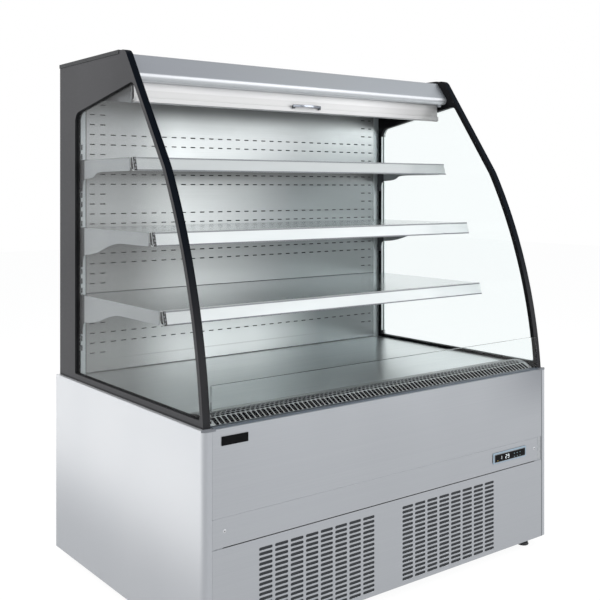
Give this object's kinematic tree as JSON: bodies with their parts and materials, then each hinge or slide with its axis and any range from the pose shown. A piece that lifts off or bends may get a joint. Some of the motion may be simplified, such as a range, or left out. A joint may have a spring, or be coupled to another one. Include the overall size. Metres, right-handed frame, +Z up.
{
  "type": "open multideck display fridge",
  "caption": "Plug-in open multideck display fridge with curved glass sides, hanging shelves, a pull-down night blind and a steel base with a louvred front",
  "frame": {"origin": "centre of the footprint on the floor; the front of the base faces -Y", "axes": "+X to the viewer's right along the front, +Y to the back, +Z up"},
  "size_m": [1.265, 0.855, 1.5],
  "materials": {
    "zinc": "zinc-coated sheet, dull grey",
    "foot": "black nylon levelling foot",
    "side_sheet": "light silver-grey satin coated sheet",
    "brushed": "stainless steel brushed along its length",
    "black_plastic": "black plastic, satin",
    "black_gloss": "black gloss window",
    "grey_plastic": "grey moulded plastic",
    "foam_skin": "white skinned insulating foam",
    "dark_coat": "anthracite powder coat, satin",
    "fins": "bare aluminium fins",
    "black_enamel": "black enamelled steel",
    "glass": "clear toughened glass",
    "liner": "stainless steel, softly polished",
    "rail_coat": "light grey satin coat",
    "bracket_coat": "blue-grey powder coat",
    "canopy_coat": "silver-grey satin coat",
    "blind_coat": "pale grey satin coat",
    "lamp": "white diffusing tube",
    "curtain": "silver-grey woven blind cloth",
    "chrome": "polished chrome"
  },
  "bodies": {
    "cabinet": {"base_frame": "zinc", "side_panel_left": "side_sheet", "side_panel_right": "side_sheet", "grille_panel": "brushed", "control_strip": "brushed", "front_panel": "brushed", "rear_panel": "zinc", "badge_plate": "black_plastic", "controller_housing": "grey_plastic", "controller_display": "black_gloss", "insulated_tub": "foam_skin", "insulated_back": "zinc", "insulated_top": "foam_skin", "top_panel": "dark_coat", "evaporator_fan_plate": "zinc", "evaporator_coil": "fins", "condenser_coil": "fins", "condenser_shroud": "zinc", "compressor": "black_enamel", "drain_pan": "grey_plastic", "side_frame_right": "dark_coat", "side_frame_left": "dark_coat", "side_glass_right": "glass", "side_glass_left": "glass", "upright_right": "liner", "upright_left": "liner", "back_liner_upper": "liner", "back_liner_lower": "liner", "deck_panel": "liner", "air_return_grille": "liner", "riser_channel": "black_plastic", "riser_glass": "glass", "shelf_lower": "liner", "price_rail_lower": "rail_coat", "bracket_lower_right": "bracket_coat", "bracket_lower_left": "bracket_coat", "shelf_middle": "liner", "price_rail_middle": "rail_coat", "bracket_middle_right": "bracket_coat", "bracket_middle_left": "bracket_coat", "shelf_upper": "liner", "price_rail_upper": "rail_coat", "bracket_upper_right": "bracket_coat", "bracket_upper_left": "bracket_coat", "canopy_fascia": "canopy_coat", "ceiling_duct": "canopy_coat", "honeycomb_outlet": "grey_plastic", "lamp_tube": "lamp", "blind_cassette": "blind_coat", "blind_curtain": "curtain"},
    "levelling_foot_front_left": {"levelling_foot_front_left": "foot"},
    "levelling_foot_front_right": {"levelling_foot_front_right": "foot"},
    "levelling_foot_rear_left": {"levelling_foot_rear_left": "foot"},
    "levelling_foot_rear_right": {"levelling_foot_rear_right": "foot"},
    "condenser_fan": {"condenser_fan": "black_plastic"},
    "evaporator_fan_left": {"evaporator_fan_left": "black_plastic"},
    "evaporator_fan_right": {"evaporator_fan_right": "black_plastic"},
    "blind_bar": {"blind_bar": "blind_coat", "blind_handle": "chrome"},
    "blind_roller": {"blind_roller": "curtain"}
  },
  "joints": [
    {"name": "level_front_left", "type": "slide", "parent": "cabinet", "child": "levelling_foot_front_left", "axis": [0, 0, -1], "range_m": [0, 0.025]},
    {"name": "level_front_right", "type": "slide", "parent": "cabinet", "child": "levelling_foot_front_right", "axis": [0, 0, -1], "range_m": [0, 0.025]},
    {"name": "level_rear_left", "type": "slide", "parent": "cabinet", "child": "levelling_foot_rear_left", "axis": [0, 0, -1], "range_m": [0, 0.025]},
    {"name": "level_rear_right", "type": "slide", "parent": "cabinet", "child": "levelling_foot_rear_right", "axis": [0, 0, -1], "range_m": [0, 0.025]},
    {"name": "blind_slide", "type": "slide", "parent": "cabinet", "child": "blind_bar", "axis": [0, -0.4994, -0.8664], "range_m": [0, 0.8], "deforming": ["blind_curtain"]},
    {"name": "blind_roll", "type": "hinge", "parent": "cabinet", "child": "blind_roller", "pos_m": [0, 0.034, 1.392], "axis": [1, 0, 0], "range_deg": [0, 2749.7]},
    {"name": "condenser_spin", "type": "hinge", "parent": "cabinet", "child": "condenser_fan", "pos_m": [-0.285, -0.314, 0.19], "axis": [0, 1, 0], "continuous": true},
    {"name": "evaporator_spin_left", "type": "hinge", "parent": "cabinet", "child": "evaporator_fan_left", "pos_m": [-0.26, -0.1063, 0.47875], "axis": [0, 1, 0], "continuous": true},
    {"name": "evaporator_spin_right", "type": "hinge", "parent": "cabinet", "child": "evaporator_fan_right", "pos_m": [0.26, -0.1063, 0.47875], "axis": [0, 1, 0], "continuous": true}
  ],
  "couplings": [
    {"joint": "blind_roll", "follows": "blind_slide", "rad_per_m": 59.88}
  ]
}
